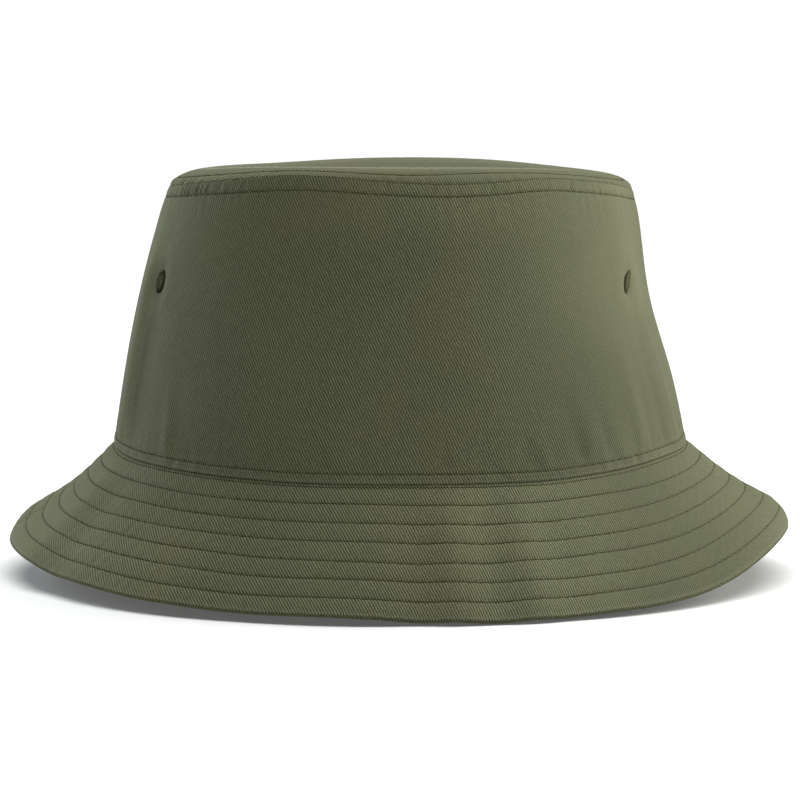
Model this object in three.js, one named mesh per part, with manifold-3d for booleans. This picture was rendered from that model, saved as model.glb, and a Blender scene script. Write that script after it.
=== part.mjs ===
// A soft cotton bucket hat: a dished tip, a two-panel crown wall, and a two-piece brim that is
// three layers deep and quilted with rows of stitching. Millimetres, +Z up, front towards -Y.
// The origin is the middle of the plane that the front and back of the brim stand on.

import * as THREE from 'three';
import { mergeVertices } from 'three/addons/utils/BufferGeometryUtils.js';
import Module from 'manifold-3d';

const wasm = await Module();
wasm.setup();

// ---- Driving dimensions ----

const CROWN_HALF_WIDTH = 90; // outside of the wall at the base seam
const CROWN_HALF_DEPTH = 100;
const BASE_SEAM_Z = 36.5; // at the front and the back
const BASE_SEAM_SIDE_RISE = 2; // how much higher the base seam runs at the sides
const TIP_SEAM_Z = 123;
const WALL_LEAN = 17.5; // how far the wall leans in from the base seam to the tip seam

const TIP_ROLL = 4; // radius of the rolled edge of the tip
const TIP_DISH = 2.2; // how far the middle of the tip sinks below its rolled edge
const TIP_SEAM_GAP = 0.3;

const BRIM_HALF_WIDTH = 121.5;
const BRIM_HALF_DEPTH = 124;
const BRIM_SIDE_RISE = 8.7; // how much higher the brim's edge is at the sides
const BRIM_FLAT_HALF_ANGLE = 38; // degrees each side of front and back where the edge lies flat

const CLOTH = 0.7; // one layer of twill
const LAYER_GAP = 0.3;
const SEAM_ALLOWANCE = 9; // the brim's layers run this far up inside the wall
const INTERLINING_ALLOWANCE = 6;
const RIM_COVER = 2.3; // the upper layer stops this far short of the edge, above the turned rim
const INTERLINING_SHORT = 3.5; // and the interlining this far

const SWEATBAND_HEIGHT = 32;
const SWEATBAND_THICKNESS = 1.2;
const SWEATBAND_FOOT = 1; // the band's lower edge, above the base seam
const TAPE_WIDTH = 11;
const TAPE_THICKNESS = 0.5;
const TAPE_MARGIN = 1; // between the tip seam tape and the tip seam
const SIDE_TAPE_MARGIN = 2; // between a side seam tape and its neighbours
const LABEL_HEIGHT = 12;
const LABEL_WIDTH = 14;
const LABEL_THICKNESS = 0.4;
const LABEL_FOOT = 8; // above the base seam

const BRIM_ROWS = 7;
const FIRST_ROW = 1.6; // from the base seam down to the first row of brim stitching
const ROW_PITCH = 5.9;
const BASE_TOPSTITCH = 3; // above the base seam
const TIP_TOPSTITCH = 3.8; // below the tip seam
const THREAD_WIDTH = 0.6;
const THREAD_HEIGHT = 0.35;

const EYELET_ANGLE = 22; // degrees from the side seam, both ways
const EYELET_DROP = 32; // below the tip seam
const EYELET_RADIUS = 3.8;
const EYELET_HOLE_RADIUS = 1.5;
const EYELET_CLEARANCE = 0.3;
const EYELET_PROUD = 0.35; // how far the worked edge stands out of the cloth, both sides

const SEGMENTS = 60; // round the whole hat
const BRIM_STEPS = 3; // from the base seam to the edge of the brim
const ROLL_STEPS = 4; // over the rolled edge of the tip
const DISH_STEPS = 3; // across the dished part of the tip
const EYELET_SIDES = 16;
const SEAM_GAP_DEGREES = 0.1; // each side of a side seam

// Depths below the outside of the cloth, worked out from the layers above.
const BRIM_LAYERS = 3;
const BRIM_DEPTH = BRIM_LAYERS * CLOTH + (BRIM_LAYERS - 1) * LAYER_GAP;
const UNDER_DEPTH = BRIM_DEPTH - CLOTH;
const TAPE_DEPTH = CLOTH + LAYER_GAP;
const BAND_DEPTH = CLOTH + LAYER_GAP + BRIM_DEPTH + LAYER_GAP;
const LABEL_DEPTH = BAND_DEPTH + SWEATBAND_THICKNESS + LAYER_GAP;

// ---- Colours and finishes ----

const OLIVE = 0x5a5c45;
const OLIVE_UNDERSIDE = 0x55573f;
const OLIVE_BAND = 0x4f513e;
const DARK_THREAD = 0x4a4b3c;
const DARK_TAPE = 0x3f4133;
const NATURAL = 0xd8d5c8;

function cotton(color) {
  return new THREE.MeshStandardMaterial({ color, roughness: 0.92, metalness: 0 });
}

const twill = cotton(OLIVE);
const twillUnder = cotton(OLIVE_UNDERSIDE);
const bandCloth = cotton(OLIVE_BAND);
const tapeCloth = cotton(DARK_TAPE);
const thread = cotton(DARK_THREAD);
const natural = cotton(NATURAL);

// ---- The hat's outline, as a section in the (out, z) plane at an angle round the hat ----
// An angle of 0 is the front and 90 degrees is the wearer's left, at +X.
// out is measured from the outside of the wall at the base seam.

const radians = THREE.MathUtils.degToRad;

function place(angle, point) {
  const scale = (CROWN_HALF_WIDTH + point.x) / CROWN_HALF_WIDTH;
  return new THREE.Vector3(
    CROWN_HALF_WIDTH * scale * Math.sin(angle),
    -CROWN_HALF_DEPTH * scale * Math.cos(angle),
    point.y,
  );
}

function baseSeam(angle) {
  return new THREE.Vector2(0, BASE_SEAM_Z + BASE_SEAM_SIDE_RISE * Math.sin(angle) ** 2);
}

function tipSeam() {
  return new THREE.Vector2(-WALL_LEAN, TIP_SEAM_Z);
}

function brimEdge(angle) {
  const side = Math.sin(angle) ** 2;
  const frontOut = (BRIM_HALF_DEPTH / CROWN_HALF_DEPTH) * CROWN_HALF_WIDTH - CROWN_HALF_WIDTH;
  const sideOut = BRIM_HALF_WIDTH - CROWN_HALF_WIDTH;
  const flat = Math.sin(radians(BRIM_FLAT_HALF_ANGLE)) ** 2;
  return new THREE.Vector2(
    THREE.MathUtils.lerp(frontOut, sideOut, side),
    BRIM_SIDE_RISE * THREE.MathUtils.smoothstep(side, flat, 1),
  );
}

// A point so many millimetres from one point towards another.
function towards(from, to, distance) {
  const direction = to.clone().sub(from).normalize();
  return from.clone().addScaledVector(direction, distance);
}

// The wall between two heights above the base seam, measured along the cloth, from the top down.
function wallLine(angle, low, high) {
  const seam = baseSeam(angle);
  return [towards(seam, tipSeam(), high), towards(seam, tipSeam(), low)];
}

function wallLength(angle) {
  return baseSeam(angle).distanceTo(tipSeam());
}

// The tip from its middle out to the rolled edge and down to its seam.
function tipLine() {
  const start = tipSeam();
  const points = [];
  for (let i = 0; i <= ROLL_STEPS; i += 1) {
    const turn = (i / ROLL_STEPS) * (Math.PI / 2);
    points.push(new THREE.Vector2(
      start.x - TIP_ROLL * (1 - Math.cos(turn)),
      start.y + TIP_SEAM_GAP + TIP_ROLL * Math.sin(turn),
    ));
  }
  const ridge = points[ROLL_STEPS];
  const reach = CROWN_HALF_WIDTH + ridge.x;
  for (let i = 1; i <= DISH_STEPS; i += 1) {
    const part = i / DISH_STEPS;
    const sink = TIP_DISH * Math.sin((part * Math.PI) / 2);
    points.push(new THREE.Vector2(ridge.x - reach * part, ridge.y - sink));
  }
  return points.reverse();
}

// ---- Building closed solids from sections ----

// Moves a line of points sideways by a distance, keeping its corners square to the cloth.
// A positive distance moves to the inside of the hat.
function inset(line, distance) {
  const normals = [];
  for (let i = 0; i + 1 < line.length; i += 1) {
    const along = line[i + 1].clone().sub(line[i]).normalize();
    normals.push(new THREE.Vector2(along.y, -along.x));
  }
  return line.map((point, i) => {
    const before = normals[Math.max(i - 1, 0)];
    const after = normals[Math.min(i, normals.length - 1)];
    const middle = before.clone().add(after).normalize();
    return point.clone().addScaledVector(middle, distance / middle.dot(after));
  });
}

// The outline of one layer of cloth that lies between two depths below a line.
function layer(line, depth, thickness) {
  return [...inset(line, depth), ...inset(line, depth + thickness).reverse()];
}

function meshVolume(positions, triangles) {
  let volume = 0;
  for (const [a, b, c] of triangles) {
    volume += positions[a].dot(positions[b].clone().cross(positions[c])) / 6;
  }
  return volume;
}

function closedGeometry(positions, triangles) {
  const outward = meshVolume(positions, triangles) > 0;
  const index = triangles.flatMap(([a, b, c]) => (outward ? [a, b, c] : [a, c, b]));
  const geometry = new THREE.BufferGeometry().setFromPoints(positions);
  geometry.setIndex(index);
  const merged = mergeVertices(geometry, 1e-4);
  const corners = merged.index.array;
  const kept = [];
  for (let i = 0; i < corners.length; i += 3) {
    const [a, b, c] = [corners[i], corners[i + 1], corners[i + 2]];
    if (a !== b && b !== c && c !== a) kept.push(a, b, c);
  }
  merged.setIndex(kept);
  merged.computeVertexNormals();
  return merged;
}

// Carries a section, a closed outline that may change with the angle, round the hat.
function sweep(section, from = 0, to = 2 * Math.PI) {
  const whole = to - from > 2 * Math.PI - 1e-9;
  const steps = Math.max(2, Math.round(((to - from) / (2 * Math.PI)) * SEGMENTS));
  const columns = whole ? steps : steps + 1;
  const positions = [];
  for (let i = 0; i < columns; i += 1) {
    const angle = from + ((to - from) * i) / steps;
    for (const point of section(angle)) positions.push(place(angle, point));
  }
  const count = positions.length / columns;
  const triangles = [];
  for (let i = 0; i < steps; i += 1) {
    const here = i * count;
    const next = ((i + 1) % columns) * count;
    for (let j = 0; j < count; j += 1) {
      const k = (j + 1) % count;
      // Both faces of a layer are split along the same diagonal, so that layers stay clear.
      if (positions[here + j].z > positions[here + k].z) {
        triangles.push([here + j, next + j, next + k], [here + j, next + k, here + k]);
      } else {
        triangles.push([here + j, next + j, here + k], [next + j, next + k, here + k]);
      }
    }
  }
  if (!whole) {
    const cap = THREE.ShapeUtils.triangulateShape(section(from), []);
    const last = (columns - 1) * count;
    for (const [a, b, c] of orientedLike(section(from), cap)) {
      triangles.push([a, b, c], [last + a, last + c, last + b]);
    }
  }
  return closedGeometry(positions, triangles);
}

// Turns an end cap's triangles to match the side walls, whichever way round its outline runs.
function orientedLike(outline, cap) {
  return THREE.ShapeUtils.isClockWise(outline) === capIsClockWise(outline, cap)
    ? cap
    : cap.map(([a, b, c]) => [a, c, b]);
}

function capIsClockWise(outline, cap) {
  const [a, b, c] = cap[0];
  return THREE.ShapeUtils.isClockWise([outline[a], outline[b], outline[c]]);
}

function toSolid(geometry) {
  const bare = new THREE.BufferGeometry();
  bare.setAttribute('position', geometry.getAttribute('position'));
  bare.setIndex(geometry.index);
  const merged = mergeVertices(bare, 1e-4);
  return new wasm.Manifold(new wasm.Mesh({
    numProp: 3,
    vertProperties: Float32Array.from(merged.getAttribute('position').array),
    triVerts: Uint32Array.from(merged.index.array),
  }));
}

function toGeometry(solid) {
  const mesh = solid.getMesh();
  const geometry = new THREE.BufferGeometry();
  geometry.setAttribute('position', new THREE.BufferAttribute(mesh.vertProperties, 3));
  geometry.setIndex(new THREE.BufferAttribute(mesh.triVerts, 1));
  geometry.computeVertexNormals();
  return geometry;
}

// ---- Sub-parts ----

const HALVES = [
  ['front', -90, 90],
  ['back', 90, 270],
];

const SIDES = [
  ['right', -90],
  ['left', 90],
];

function piece(name, geometry, material) {
  const mesh = new THREE.Mesh(geometry, material);
  mesh.name = name;
  return mesh;
}

function sweepHalf(section, low, high) {
  return sweep(section, radians(low + SEAM_GAP_DEGREES), radians(high - SEAM_GAP_DEGREES));
}

function crownTip() {
  return piece('crown_tip', sweep(() => layer(tipLine(), 0, CLOTH)), twill);
}

// Where an eyelet sits, and the direction that its hole runs in.
function eyeletPlace(degrees) {
  const angle = radians(degrees);
  const height = wallLength(angle) - EYELET_DROP;
  const line = wallLine(angle, height - 1, height + 1);
  const centre = place(angle, inset([line[0], towards(line[0], line[1], 1)], CLOTH / 2)[1]);
  const up = place(angle, line[0]).sub(place(angle, line[1])).normalize();
  const round = place(angle + 0.01, line[0]).sub(place(angle - 0.01, line[0])).normalize();
  return { centre, outward: round.cross(up).normalize() };
}

function alongNormal(geometry, { centre, outward }) {
  geometry.applyQuaternion(new THREE.Quaternion().setFromUnitVectors(new THREE.Vector3(0, 1, 0), outward));
  geometry.translate(centre.x, centre.y, centre.z);
  return geometry;
}

function wallPanel(name, low, high) {
  const section = (angle) => layer(wallLine(angle, 0, wallLength(angle)), 0, CLOTH);
  let solid = toSolid(sweepHalf(section, low, high));
  for (const degrees of eyeletAngles().filter((value) => value > low && value < high)) {
    const radius = EYELET_RADIUS + EYELET_CLEARANCE;
    const cutter = new THREE.CylinderGeometry(radius, radius, 2 * EYELET_RADIUS, EYELET_SIDES);
    solid = solid.subtract(toSolid(alongNormal(cutter, eyeletPlace(degrees))));
  }
  return piece(name, toGeometry(solid), twill);
}

function eyeletAngles() {
  return SIDES.flatMap(([, side]) => {
    const middle = (side + 360) % 360;
    return [middle - EYELET_ANGLE, middle + EYELET_ANGLE];
  }).map((value) => (value > 270 ? value - 360 : value));
}

function eyelet(name, degrees) {
  const half = CLOTH / 2 + EYELET_PROUD;
  const outline = [
    new THREE.Vector2(EYELET_HOLE_RADIUS, -half * 0.6),
    new THREE.Vector2((EYELET_HOLE_RADIUS + EYELET_RADIUS) / 2, -half),
    new THREE.Vector2(EYELET_RADIUS, -half * 0.6),
    new THREE.Vector2(EYELET_RADIUS, half * 0.6),
    new THREE.Vector2((EYELET_HOLE_RADIUS + EYELET_RADIUS) / 2, half),
    new THREE.Vector2(EYELET_HOLE_RADIUS, half * 0.6),
  ];
  const ring = new THREE.LatheGeometry([...outline, outline[0]], EYELET_SIDES);
  return piece(name, alongNormal(ring, eyeletPlace(degrees)), thread);
}

function eyelets() {
  return SIDES.flatMap(([side, degrees]) => {
    const frontwards = Math.sign(degrees) * (Math.abs(degrees) - EYELET_ANGLE);
    const backwards = Math.sign(degrees) * (Math.abs(degrees) + EYELET_ANGLE);
    return [
      eyelet(`eyelet_${side}_front`, frontwards),
      eyelet(`eyelet_${side}_back`, backwards),
    ];
  });
}

// The brim's line: up inside the wall for the seam allowance, then out and down to the edge.
function brimLine(angle, allowance, short) {
  const seam = baseSeam(angle);
  const start = new THREE.Vector2(seam.x - CLOTH - LAYER_GAP, seam.y);
  const up = tipSeam().sub(seam).normalize();
  const end = towards(brimEdge(angle), start, short);
  const line = [start.clone().addScaledVector(up, allowance)];
  for (let i = 0; i <= BRIM_STEPS; i += 1) line.push(start.clone().lerp(end, i / BRIM_STEPS));
  return line;
}

function brimTop(name, low, high) {
  const section = (angle) => layer(brimLine(angle, SEAM_ALLOWANCE, RIM_COVER), 0, CLOTH);
  return piece(name, sweepHalf(section, low, high), twill);
}

function brimInterlining(name, low, high) {
  const depth = CLOTH + LAYER_GAP;
  const section = (angle) => layer(brimLine(angle, INTERLINING_ALLOWANCE, INTERLINING_SHORT), depth, CLOTH);
  return piece(name, sweepHalf(section, low, high), natural);
}

// The lower layer carries the turned rim, whose underside is flat, so the hat stands on it.
function underSection(angle) {
  const line = brimLine(angle, SEAM_ALLOWANCE, 0);
  const last = line.length - 1;
  const edge = line[last];
  const rise = line[1].clone().sub(edge).normalize();
  const rim = rise.clone().multiplyScalar(CLOTH / rise.y);
  const upper = inset(line, UNDER_DEPTH);
  const lower = inset(line, BRIM_DEPTH);
  upper[last] = new THREE.Vector2(edge.x - UNDER_DEPTH / rise.y, edge.y).add(rim);
  lower[last] = new THREE.Vector2(edge.x - BRIM_DEPTH / rise.y, edge.y);
  return [...upper, edge.clone().add(rim), edge, ...lower.reverse()];
}

function brimUnder(name, low, high) {
  return piece(name, sweepHalf(underSection, low, high), twillUnder);
}

function sweatband() {
  const top = SWEATBAND_FOOT + SWEATBAND_HEIGHT;
  const section = (angle) => layer(wallLine(angle, SWEATBAND_FOOT, top), BAND_DEPTH, SWEATBAND_THICKNESS);
  return piece('sweatband', sweep(section), bandCloth);
}

function sizeLabel() {
  const half = LABEL_WIDTH / 2 / CROWN_HALF_WIDTH;
  const top = LABEL_FOOT + LABEL_HEIGHT;
  const section = (angle) => layer(wallLine(angle, LABEL_FOOT, top), LABEL_DEPTH, LABEL_THICKNESS);
  return piece('size_label', sweep(section, Math.PI - half, Math.PI + half), natural);
}

function tipSeamTape() {
  const section = (angle) => {
    const top = wallLength(angle) - TAPE_MARGIN;
    return layer(wallLine(angle, top - TAPE_WIDTH, top), TAPE_DEPTH, TAPE_THICKNESS);
  };
  return piece('tip_seam_tape', sweep(section), tapeCloth);
}

function sideSeamTape(name, degrees) {
  const half = TAPE_WIDTH / 2 / CROWN_HALF_WIDTH;
  const foot = SWEATBAND_FOOT + SWEATBAND_HEIGHT + SIDE_TAPE_MARGIN;
  const section = (angle) => {
    const top = wallLength(angle) - TAPE_MARGIN - TAPE_WIDTH - SIDE_TAPE_MARGIN;
    return layer(wallLine(angle, foot, top), TAPE_DEPTH, TAPE_THICKNESS);
  };
  return piece(name, sweep(section, radians(degrees) - half, radians(degrees) + half), tapeCloth);
}

// A row of stitching is one thread that runs right round, just clear of the cloth.
function threadSection(from, to, distance) {
  const half = THREAD_WIDTH / 2;
  const foot = [towards(from, to, distance - half), towards(from, to, distance + half)];
  const raised = inset(foot, -LAYER_GAP);
  const crest = inset(foot, -LAYER_GAP - THREAD_HEIGHT);
  return [raised[0], raised[1], crest[0].clone().add(crest[1]).multiplyScalar(0.5)];
}

function brimStitchRow(number) {
  const distance = FIRST_ROW + (number - 1) * ROW_PITCH;
  const section = (angle) => {
    const [, start, ...rest] = brimLine(angle, 0, 0);
    return threadSection(start, rest.pop(), distance);
  };
  return piece(`brim_stitch_row_${number}`, sweep(section), thread);
}

function wallStitchRow(name, heightAt) {
  const section = (angle) => {
    const height = heightAt(angle);
    const [top, foot] = wallLine(angle, height - 1, height + 1);
    return threadSection(top, foot, 1);
  };
  return piece(name, sweep(section), thread);
}

function tipStitchRow() {
  const section = () => {
    const [low, high] = tipLine().slice(-3);
    return threadSection(low, high, low.distanceTo(high) / 2);
  };
  return piece('tip_topstitch_upper', sweep(section), thread);
}

// ---- The whole hat ----

const hat = new THREE.Group();
hat.add(crownTip());
for (const [name, low, high] of HALVES) {
  hat.add(
    wallPanel(`side_panel_${name}`, low, high),
    brimTop(`brim_top_${name}`, low, high),
    brimInterlining(`brim_interlining_${name}`, low, high),
    brimUnder(`brim_under_${name}`, low, high),
  );
}
hat.add(sweatband(), sizeLabel(), tipSeamTape(), ...eyelets());
for (const [side, degrees] of SIDES) {
  hat.add(sideSeamTape(`side_seam_tape_${side}`, degrees));
}
for (let number = 1; number <= BRIM_ROWS; number += 1) {
  hat.add(brimStitchRow(number));
}
hat.add(
  wallStitchRow('base_topstitch', () => BASE_TOPSTITCH),
  wallStitchRow('tip_topstitch_lower', (angle) => wallLength(angle) - TIP_TOPSTITCH),
  tipStitchRow(),
);

export default hat;
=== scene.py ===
import math

import bpy
import numpy as np
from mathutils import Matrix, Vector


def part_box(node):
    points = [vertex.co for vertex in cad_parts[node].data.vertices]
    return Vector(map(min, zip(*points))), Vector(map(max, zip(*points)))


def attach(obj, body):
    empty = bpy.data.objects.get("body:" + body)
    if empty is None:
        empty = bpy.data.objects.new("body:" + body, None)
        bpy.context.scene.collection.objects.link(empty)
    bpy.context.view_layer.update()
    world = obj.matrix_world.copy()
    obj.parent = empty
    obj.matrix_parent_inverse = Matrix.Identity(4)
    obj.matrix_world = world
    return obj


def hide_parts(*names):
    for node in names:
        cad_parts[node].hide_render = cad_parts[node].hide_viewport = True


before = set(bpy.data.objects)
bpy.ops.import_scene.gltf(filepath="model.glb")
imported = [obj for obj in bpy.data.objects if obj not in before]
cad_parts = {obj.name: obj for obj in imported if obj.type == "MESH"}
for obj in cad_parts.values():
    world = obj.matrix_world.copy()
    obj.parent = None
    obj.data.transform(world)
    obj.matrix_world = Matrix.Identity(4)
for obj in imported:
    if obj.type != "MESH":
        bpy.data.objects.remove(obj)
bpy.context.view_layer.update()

MM = 0.001

# ---- Sizes read from the frame ----

PANEL_LOW, PANEL_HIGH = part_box("side_panel_front")
TIP_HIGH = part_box("crown_tip")[1]
UNDER_LOW, UNDER_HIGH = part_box("brim_under_front")
BAND_LOW, BAND_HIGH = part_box("sweatband")

HALF_WIDTH = PANEL_HIGH.x  # outside of the crown at the base seam
HALF_DEPTH = -PANEL_LOW.y
BASE_Z = PANEL_LOW.z
TIP_Z = PANEL_HIGH.z
TIP_TOP = TIP_HIGH.z
LEAN = HALF_WIDTH - TIP_HIGH.x
EDGE_HALF_WIDTH = UNDER_HIGH.x
EDGE_HALF_DEPTH = -UNDER_LOW.y
SIDE_RISE = 2 * MM  # the base seam is this much higher at the sides
EDGE_RISE = 8.7 * MM  # and the brim's edge this much
EDGE_FLAT_TURN = 38  # degrees each side of front and back where the edge lies flat

# ---- Cloth and stitching ----

CLOTH = 0.6 * MM
BRIM_DEPTH = 1.5 * MM  # through all the brim's layers
BRIM_SLANT = 43.5 * MM
RIM = 0.6 * MM  # the turned rim that shows below the upper layer's edge
STITCH = 3.05 * MM
THREAD_RADIUS = 0.125 * MM
BRIM_ROWS = 7
FIRST_ROW = 0.8 * MM
ROW_PITCH = 6.12 * MM
ROW_PHASE = 0.13  # of a stitch, from one row's needle holes to the next row's
BASE_TOPSTITCH = 2.8 * MM
TIP_TOPSTITCH_LOWER = 3.4 * MM
FLOOR_Z = -1.8 * MM  # the brim's lowest ripple dips just under its fitted plane
TWILL_PITCH = 0.80  # millimetres from one diagonal rib to the next
TWILL_LEAN = 64  # degrees from level, running down to the right

COLUMNS = 960  # round the whole hat


# ---- Small numeric helpers ----


def ramp(x, low, high):
    t = np.clip((x - low) / (high - low), 0, 1)
    return t * t * (3 - 2 * t)


def bell(x, width):
    return np.exp(-((x / width) ** 2))


def turn_gap(turn, centre):
    """Degrees from centre, between -180 and 180."""
    return (turn - centre + 180) % 360 - 180


def lobe(turn, centre, width):
    return bell(turn_gap(turn, centre), width)


def lobes(turn, *parts):
    """Several lobes added up, each given as its height, then its centre and width in degrees."""
    return sum(height * lobe(turn, centre, width) for height, centre, width in parts)


def waves(turn, height, seed, count, around, up, amplitude):
    """Smooth seeded undulation that closes on itself round the hat."""
    rng = np.random.default_rng(seed)
    total = 0
    for _ in range(count):
        cycles = rng.integers(*around)
        rise = rng.uniform(*up)
        phase = rng.uniform(0, 2 * math.pi)
        total = total + np.cos(cycles * np.radians(turn) + rise * height * 2 * math.pi + phase)
    return amplitude * total / math.sqrt(count)


def running_sum(steps):
    """The totals so far, from 0."""
    return np.concatenate([[0], np.cumsum(steps)])


def grid(turns, steps):
    """Every turn with every step, as two arrays."""
    return np.meshgrid(turns, steps, indexing="ij")


def unit(vectors):
    return vectors / np.linalg.norm(vectors, axis=-1, keepdims=True)


def tuck(distance, radius):
    """How far an edge curls in, at a distance from it."""
    near = np.clip(1 - distance / radius, 0, 1)
    return -radius * (1 - np.sqrt(1 - near**2))


# ---- The hat's surfaces. turn is in degrees: 0 at the front, 90 at +X ----
#
# The hat is soft, so each of its lines and surfaces is a plain shape plus some lobes, in millimetres.


def ring(turn, out, height):
    share = 1 + out / HALF_WIDTH
    angle = np.radians(turn)
    x = HALF_WIDTH * share * np.sin(angle)
    y = -HALF_DEPTH * share * np.cos(angle)
    return np.stack(np.broadcast_arrays(x, y, height), -1)


WALL_LENGTH = TIP_Z - BASE_Z
TURNS = np.linspace(-90, 270, COLUMNS + 1)
SEAM_POINTS = ring(TURNS, 0.0, BASE_Z)
ARC = running_sum(np.linalg.norm(np.diff(SEAM_POINTS, axis=0), axis=1))
GIRTH = ARC[-1]


def arc_at(turn):
    return np.interp((np.asarray(turn) + 90) % 360 - 90, TURNS, ARC)


def arc_gap(turn, centre):
    """Distance round the wall from centre."""
    return turn_gap(turn, centre) * math.pi / 180 * HALF_WIDTH


def base_height(turn):
    sway = lobes(turn, (0.4, 0, 14), (-0.4, 30, 9), (1.0, 66, 14), (1.6, -90, 13), (1.8, 91, 13))
    return BASE_Z + SIDE_RISE * np.sin(np.radians(turn)) ** 2 + sway * MM


def tip_height(turn):
    """The tip seam's height, which wanders up and down as sewn."""
    lift = lobes(turn, (2.7, -24, 22), (1.5, 37, 15))
    drop = lobes(turn, (2.5, -86, 25), (3.0, 84, 20))
    rear = 0.9 * np.sin(np.radians(turn * 3 + 20)) * lobe(turn, 180, 70)
    return TIP_Z + (lift - drop + rear) * MM


def wall_swell(turn, h):
    """How far the wall stands out from a straight cone, in metres."""
    belly = np.sin(math.pi * np.clip(h, 0, 1))
    left = 1.6 * lobe(turn, -90, 38) * belly**0.8
    right = -2.5 * lobe(turn, 90, 36) * bell(h - 0.58, 0.26)
    front = 0.8 * lobe(turn, 0, 60) * belly
    slack = waves(turn, h, 11, 9, (2, 9), (-0.6, 0.6), 0.55) * belly
    shoulder = -lobes(turn, (0.5, -90, 40), (0.7, 90, 40)) * bell(1 - h, 0.06)
    fuller = (0.9 + 0.8 * ramp(h, 0, 0.3)) * lobe(turn, 90, 36)
    return (left + right + front + slack + shoulder + fuller) * MM


def crease(turn, height, fold):
    """A soft fold in the wall that rises from near the base seam and dies away."""
    centre, tilt, top, width, depth = fold
    across = (turn_gap(turn, centre) - tilt * height / top) * math.pi / 180 * HALF_WIDTH / MM
    fade = ramp(height, 1.4 * top, top * 0.2) * ramp(height, -1 * MM, 7 * MM)
    width = 1.3 * width
    return 0.85 * depth * fade * (bell(across, width) - 0.55 * bell(across - 1.5 * width, width * 1.2))


# Folds above the base seam: turn, lean in degrees, height in metres, width and depth in millimetres.
FRONT_FOLDS = [
    (-76, 3, 0.075, 5.0, 0.9),
    (-51, -3, 0.022, 2.2, 0.75),
    (-44, -3, 0.012, 1.8, -0.3),
    (-27, -3, 0.012, 2.0, 0.22),
    (-12, -4, 0.014, 2.4, -0.38),
    (-4, -3, 0.010, 2.0, -0.2),
    (11, -3, 0.012, 2.2, -0.3),
    (19, -3, 0.011, 1.8, -0.25),
    (28, -3, 0.014, 2.0, -0.42),
    (40, -4, 0.022, 2.6, -0.5),
    (47, -3, 0.018, 2.0, -0.38),
    (57, -3, 0.034, 2.8, 0.55),
    (67, -5, 0.046, 3.4, -0.55),
    (74, -5, 0.036, 2.6, 0.4),
    (84, -3, 0.026, 2.4, -0.3),
]


def other_folds():
    rng = np.random.default_rng(5)
    return [
        (turn + rng.uniform(-2.5, 2.5), rng.uniform(-5, 2), rng.uniform(0.016, 0.036),
         rng.uniform(3.4, 5.6), rng.uniform(-0.42, 0.38))
        for turn in range(94, 268, 8)
    ]


FOLDS = FRONT_FOLDS + other_folds()


def stitch_dimples(arc, distance, depth, phase=0.0):
    """The furrow that a row of stitching pulls, deepest at its needle holes."""
    holes = (0.5 + 0.5 * np.cos(2 * math.pi * (arc / STITCH + phase))) ** 3
    furrow = bell(distance, 0.46 * MM)
    return -depth * furrow * (0.7 + 0.3 * holes)


def pucker(arc, seed, amplitude):
    """Short ripples across a row, of one to three stitches each."""
    rng = np.random.default_rng(seed)
    total = 0
    for _ in range(6):
        cycles = rng.integers(int(GIRTH / (3.4 * STITCH)), int(GIRTH / (1.25 * STITCH)))
        total = total + np.cos(2 * math.pi * cycles * arc / GIRTH + rng.uniform(0, 6.3))
    return amplitude * total / 6**0.5


def side_seam(turn, depth=0.45):
    """The valley where the front and back pieces meet."""
    gap = np.minimum(abs(turn_gap(turn, -90)), abs(turn_gap(turn, 90)))
    return -depth * MM * bell(gap * 1.6 * MM, 0.8 * MM)


EYELET_TURNS = (-67.3, -112, 63, 112)
EYELET_SHARE = 0.645  # of the wall's height
EYELET_CUT = 1.5 * MM  # the radius cut out of the wall's cloth
EYELET_OUTER = 3.75  # millimetres from an eyelet's middle to the outer ends of its stitches
EYELET_HOLE = 0.85  # and to their inner ends
EYELET_STITCHES = 46


def tip_gap(turn):
    """From the tip seam down to the wall's upper row of stitching."""
    return TIP_TOPSTITCH_LOWER + 0.7 * MM * lobe(turn, -30, 25)


# Slanting nicks where the tip seam gathers the wall: turn and slope.
TIP_NICKS = [(22, 0.7), (45, 0.9), (49, 0.9), (-14, 0.5), (8, 0.3)]


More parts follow.
